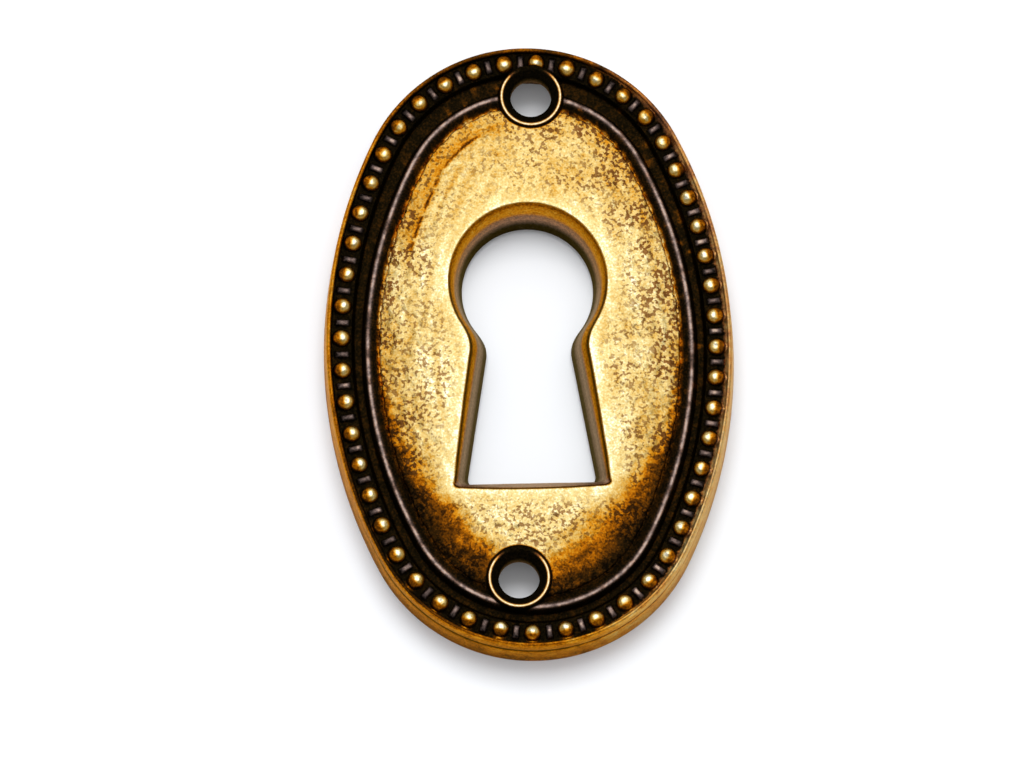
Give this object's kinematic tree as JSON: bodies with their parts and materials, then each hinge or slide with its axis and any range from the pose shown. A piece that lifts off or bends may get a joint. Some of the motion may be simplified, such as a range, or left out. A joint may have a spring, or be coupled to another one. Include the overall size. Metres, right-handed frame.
{
  "type": "keyhole escutcheon",
  "caption": "Oval cast plate with a bead-and-reel border and a domed field, pierced by a keyhole, which trims and guards the key's way into a drawer or door lock.",
  "frame": {"origin": "centre of the oval outline, on the plane of the flat back rim", "axes": "+Y along the oval's long axis towards the round head of the keyhole, +Z out of the ornamented front, +X to the right seen from the front"},
  "size_m": [0.025, 0.038, 0.0039],
  "materials": {
    "antique_brass": "antiqued: dark patina in the hollows, rubbed bright on the beads, the ridge line and the domed field"
  },
  "bodies": {
    "root": {"escutcheon_plate": "antique_brass"}
  },
  "joints": []
}
